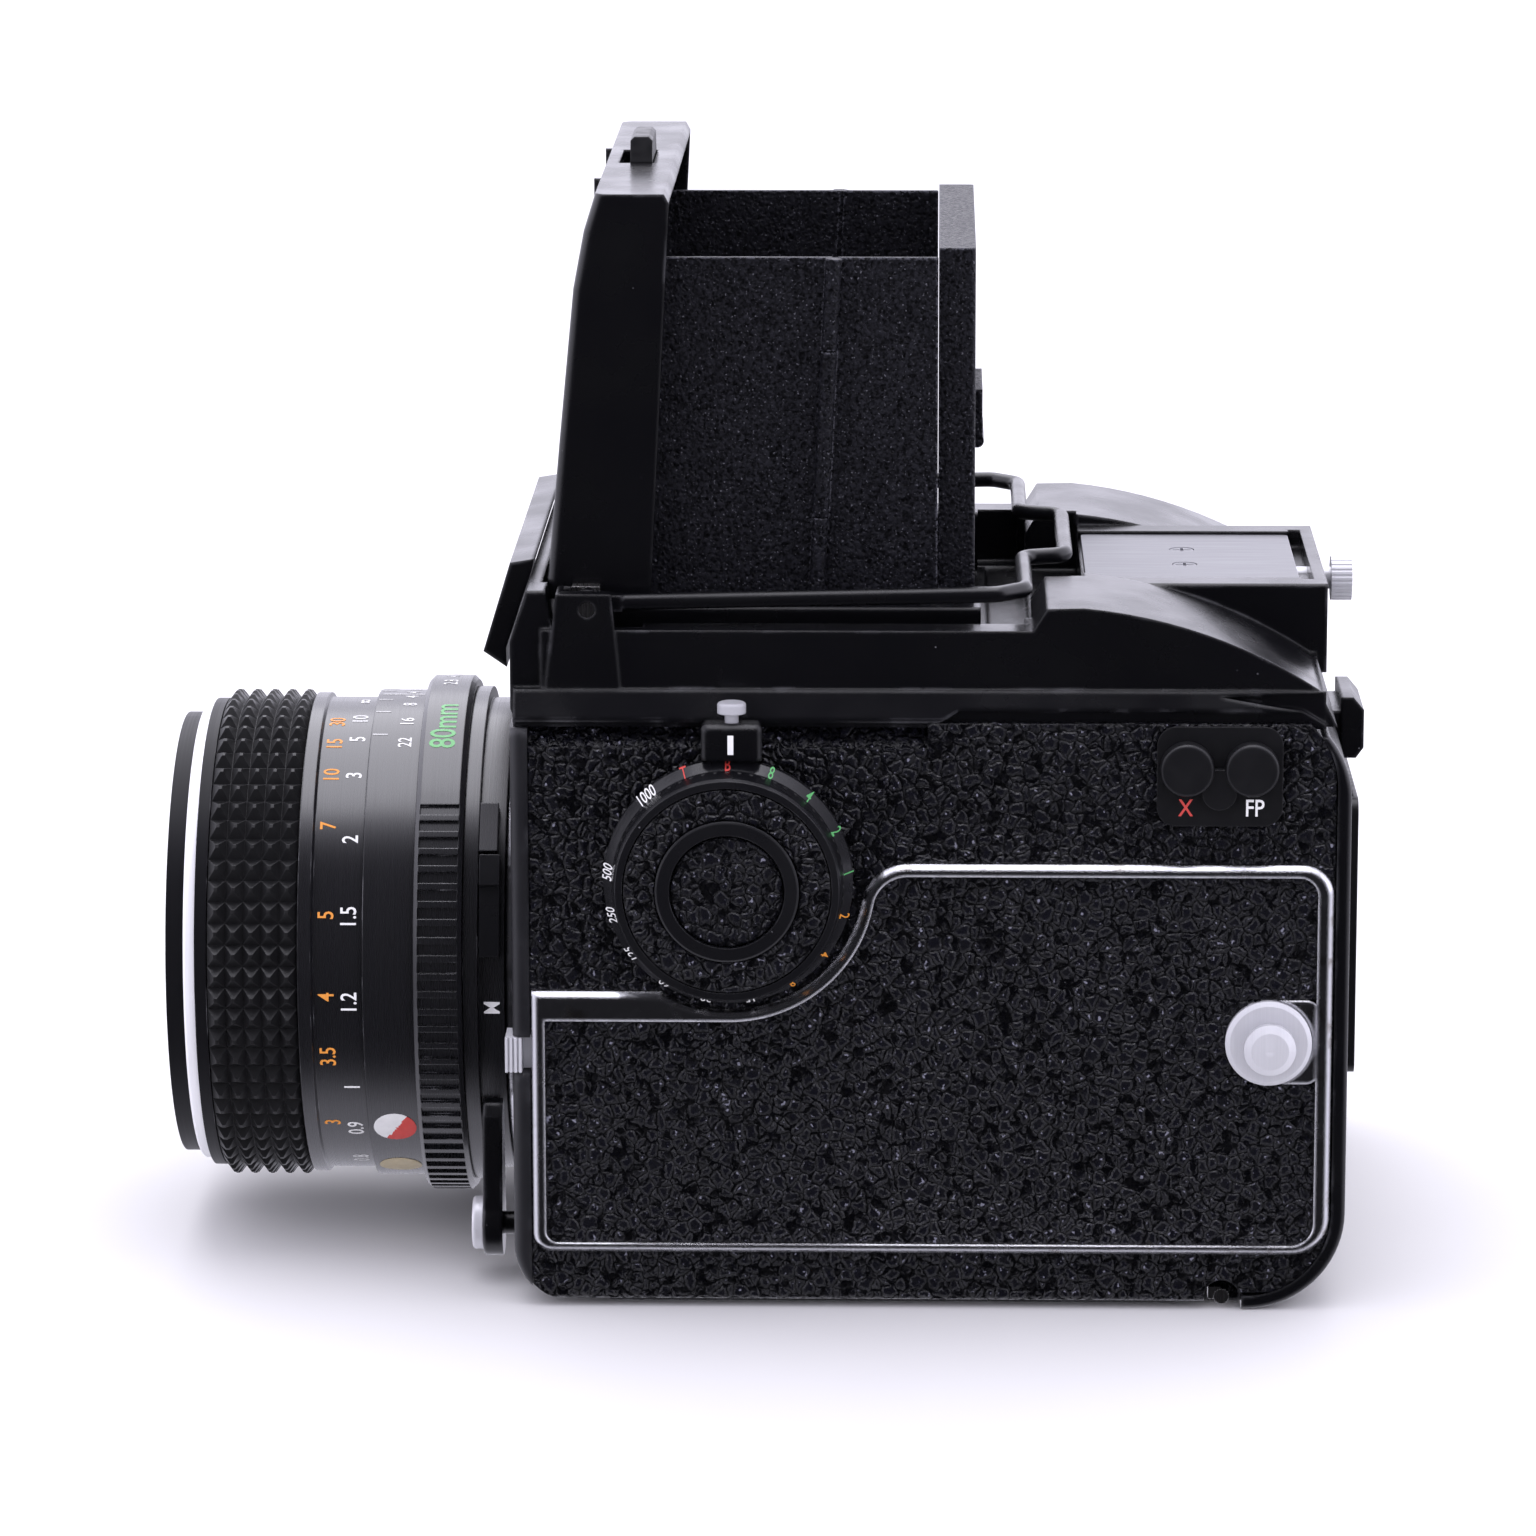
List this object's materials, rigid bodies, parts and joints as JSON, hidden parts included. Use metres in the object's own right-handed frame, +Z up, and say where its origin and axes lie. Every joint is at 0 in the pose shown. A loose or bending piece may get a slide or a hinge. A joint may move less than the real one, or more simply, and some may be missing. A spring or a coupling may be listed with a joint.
{
  "type": "reflex camera",
  "caption": "Medium-format single-lens reflex camera with a folding waist-level hood, a side shutter dial, a winding crank, a hinged back and a focusing lens.",
  "frame": {"origin": "centre of the tripod socket's mouth, in the base plane, in the plane of the lens axis", "axes": "+Z up, lens optical axis along -Y, the camera's left side at +X"},
  "size_m": [0.1157, 0.158, 0.1476],
  "materials": {
    "black_enamel": "gloss black enamel over die-cast metal",
    "front_paint": "satin dark grey paint",
    "leather": "black pebble-grained leatherette",
    "chrome": "bright chrome plating",
    "black_anodised": "satin black anodised",
    "grip_rubber": "moulded rubber with square studs",
    "crinkle_paint": "black crinkle paint on sheet steel",
    "plate_grey": "satin grey",
    "black_plastic": "moulded black plastic",
    "steel": "machined steel",
    "glass": "coated optical glass",
    "screen": "ground focusing glass",
    "mirror": "front-silvered",
    "curtain": "rubberised shutter cloth",
    "silver_ring": "bright turned aluminium"
  },
  "bodies": {
    "body": {"body_casting": "black_enamel", "front_plate": "front_paint", "top_cover": "black_enamel", "accessory_plate": "plate_grey", "name_plate": "black_enamel", "base_plate": "black_enamel", "tripod_bush": "steel", "body_leatherette": "leather", "panel_trims": "chrome", "panel_leatherettes": "leather", "strap_lugs": "chrome", "body_mount_ring": "chrome", "sync_plate": "black_plastic", "sync_sockets": "chrome", "dial_index_block": "black_enamel", "focusing_screen": "screen", "shutter_curtain": "curtain", "film_insert": "black_plastic", "hinge_pin": "steel", "finder_base": "black_enamel", "hood_pivot_pins": "steel"},
    "dial": {"shutter_dial": "black_anodised", "dial_leatherette": "leather"},
    "dial_lock": {"dial_lock_button": "plate_grey"},
    "release_slide": {"lens_release_slide": "chrome"},
    "self_timer": {"self_timer_lever": "black_enamel", "self_timer_button": "chrome"},
    "release_button": {"shutter_release_button": "chrome"},
    "lock_ring": {"release_lock_ring": "black_anodised"},
    "back": {"back_cover": "black_enamel", "memo_holder": "black_plastic"},
    "latch": {"back_latch": "black_enamel"},
    "rear_button": {"rear_button": "chrome"},
    "crank": {"crank_disc": "black_anodised", "take_up_spool": "black_plastic"},
    "crank_arm": {"crank_arm": "chrome"},
    "crank_knob": {"crank_knob": "black_plastic"},
    "supply": {"supply_spool": "black_plastic"},
    "mirror": {"reflex_mirror": "mirror"},
    "lens": {"lens_barrel": "black_anodised", "lens_bayonet": "chrome"},
    "aperture": {"aperture_ring": "black_anodised"},
    "am_switch": {"am_lever": "black_anodised"},
    "focus": {"focus_ring": "black_anodised", "focus_grip": "grip_rubber"},
    "optics": {"front_cell": "black_anodised", "front_trim_ring": "silver_ring", "front_element": "glass", "rear_element": "glass"},
    "lid": {"hood_lid": "black_enamel"},
    "lid_button": {"lid_button": "black_plastic"},
    "leaf_front_left": {"hood_leaf_front_left": "crinkle_paint"},
    "leaf_rear_left": {"hood_leaf_rear_left": "crinkle_paint"},
    "leaf_front_right": {"hood_leaf_front_right": "crinkle_paint"},
    "leaf_rear_right": {"hood_leaf_rear_right": "crinkle_paint"},
    "rear_plate": {"hood_rear_plate": "crinkle_paint"},
    "magnifier": {"magnifier_frame": "black_enamel", "magnifier_lens": "glass"},
    "bail": {"wire_bail": "black_enamel"},
    "flash_caps": {"sync_caps": "black_plastic"}
  },
  "joints": [
    {"name": "shutter_dial_turn", "type": "hinge", "parent": "body", "child": "dial", "pos_m": [0.05, -0.0169, 0.0575], "axis": [1, 0, 0], "continuous": true},
    {"name": "dial_lock_press", "type": "slide", "parent": "body", "child": "dial_lock", "axis": [0, 0, -1], "range_m": [0, 0.001]},
    {"name": "lens_release_slide", "type": "slide", "parent": "body", "child": "release_slide", "axis": [0, 1, 0], "range_m": [0, 0.001]},
    {"name": "self_timer_swing", "type": "hinge", "parent": "body", "child": "self_timer", "pos_m": [0.036, -0.048, 0.0075], "axis": [0, 1, 0], "range_deg": [0, 85]},
    {"name": "shutter_release_press", "type": "slide", "parent": "body", "child": "release_button", "axis": [0, 1, 0], "range_m": [0, 0.002]},
    {"name": "release_lock_turn", "type": "hinge", "parent": "body", "child": "lock_ring", "pos_m": [-0.036, -0.046, 0.012], "axis": [0, 1, 0], "range_deg": [0, 60]},
    {"name": "back_cover_open", "type": "hinge", "parent": "body", "child": "back", "pos_m": [0, 0.047, 0.0017], "axis": [1, 0, 0], "range_deg": [-95, 0]},
    {"name": "back_latch_slide", "type": "slide", "parent": "back", "child": "latch", "axis": [0, 0, -1], "range_m": [0, 0.003]},
    {"name": "rear_button_press", "type": "slide", "parent": "body", "child": "rear_button", "axis": [0, -1, 0], "range_m": [0, 0.0014]},
    {"name": "crank_turn", "type": "hinge", "parent": "body", "child": "crank", "pos_m": [-0.052, 0.04, 0.057], "axis": [1, 0, 0], "continuous": true},
    {"name": "crank_unfold", "type": "hinge", "parent": "crank", "child": "crank_arm", "pos_m": [-0.0565, 0.04, 0.0675], "axis": [0, 1, 0], "range_deg": [0, 175]},
    {"name": "crank_knob_spin", "type": "hinge", "parent": "crank_arm", "child": "crank_knob", "pos_m": [-0.056, 0.04, 0.05], "axis": [1, 0, 0], "continuous": true},
    {"name": "supply_spool_turn", "type": "hinge", "parent": "body", "child": "supply", "pos_m": [0, 0.04, 0.0215], "axis": [1, 0, 0], "continuous": true},
    {"name": "mirror_flip", "type": "hinge", "parent": "body", "child": "mirror", "pos_m": [0, 0.0065, 0.059], "axis": [1, 0, 0], "range_deg": [-45, 0]},
    {"name": "lens_bayonet_turn", "type": "hinge", "parent": "body", "child": "lens", "pos_m": [0, -0.047, 0.03816], "axis": [0, -1, 0], "range_deg": [0, 55]},
    {"name": "aperture_turn", "type": "hinge", "parent": "lens", "child": "aperture", "pos_m": [0, -0.0557, 0.03816], "axis": [0, 1, 0], "range_deg": [0, 54]},
    {"name": "aperture_mode_switch", "type": "hinge", "parent": "lens", "child": "am_switch", "pos_m": [0, -0.049, 0.03816], "axis": [0, 1, 0], "range_deg": [0, 16]},
    {"name": "focus_turn", "type": "hinge", "parent": "lens", "child": "focus", "pos_m": [0, -0.076, 0.03816], "axis": [0, 1, 0], "range_deg": [0, 190]},
    {"name": "focus_extend", "type": "slide", "parent": "lens", "child": "optics", "axis": [0, -1, 0], "range_m": [0, 0.0119]},
    {"name": "lid_close", "type": "hinge", "parent": "body", "child": "lid", "pos_m": [0, -0.036, 0.0915], "axis": [1, 0, 0], "range_deg": [-82.6, 0], "deforming": ["hood_leaf_front_left", "hood_leaf_rear_left", "hood_leaf_front_right", "hood_leaf_rear_right", "hood_rear_plate"]},
    {"name": "lid_button_slide", "type": "slide", "parent": "lid", "child": "lid_button", "axis": [0, -1, 0], "range_m": [0, 0.0012]},
    {"name": "side_leaf_fold", "type": "hinge", "parent": "lid", "child": "leaf_front_left", "pos_m": [0.0321, -0.0355, 0.0908], "axis": [0, -0.0506, -0.9987], "range_deg": [-90, 0]},
    {"name": "left_rear_leaf_fold", "type": "hinge", "parent": "leaf_front_left", "child": "leaf_rear_left", "pos_m": [0.034, -0.0059, 0.0908], "axis": [0, 0.0506, 0.9987], "range_deg": [-180, 0]},
    {"name": "right_front_leaf_fold", "type": "hinge", "parent": "lid", "child": "leaf_front_right", "pos_m": [-0.0321, -0.0355, 0.0908], "axis": [0, 0.0506, 0.9987], "range_deg": [-90, 0]},
    {"name": "right_rear_leaf_fold", "type": "hinge", "parent": "leaf_front_right", "child": "leaf_rear_right", "pos_m": [-0.034, -0.0059, 0.0908], "axis": [0, -0.0506, -0.9987], "range_deg": [-180, 0]},
    {"name": "rear_plate_fold", "type": "hinge", "parent": "body", "child": "rear_plate", "pos_m": [0, 0.0123, 0.0885], "axis": [-1, 0, 0], "range_deg": [-94, 0]},
    {"name": "magnifier_swing", "type": "hinge", "parent": "lid", "child": "magnifier", "pos_m": [0, -0.0322, 0.1366], "axis": [1, 0, 0], "range_deg": [0, 90]},
    {"name": "bail_lift", "type": "hinge", "parent": "body", "child": "bail", "pos_m": [0, -0.035, 0.092], "axis": [1, 0, 0], "range_deg": [0, 22]},
    {"name": "flash_caps_pull", "type": "slide", "parent": "body", "child": "flash_caps", "axis": [1, 0, 0], "range_m": [0, 0.006]}
  ],
  "couplings": [
    {"joint": "focus_extend", "follows": "focus_turn", "m_per_rad": 0.0035734},
    {"joint": "supply_spool_turn", "follows": "crank_turn", "ratio": 1},
    {"joint": "left_rear_leaf_fold", "follows": "side_leaf_fold", "ratio": 2},
    {"joint": "right_front_leaf_fold", "follows": "side_leaf_fold", "ratio": 1},
    {"joint": "right_rear_leaf_fold", "follows": "side_leaf_fold", "ratio": 2}
  ]
}
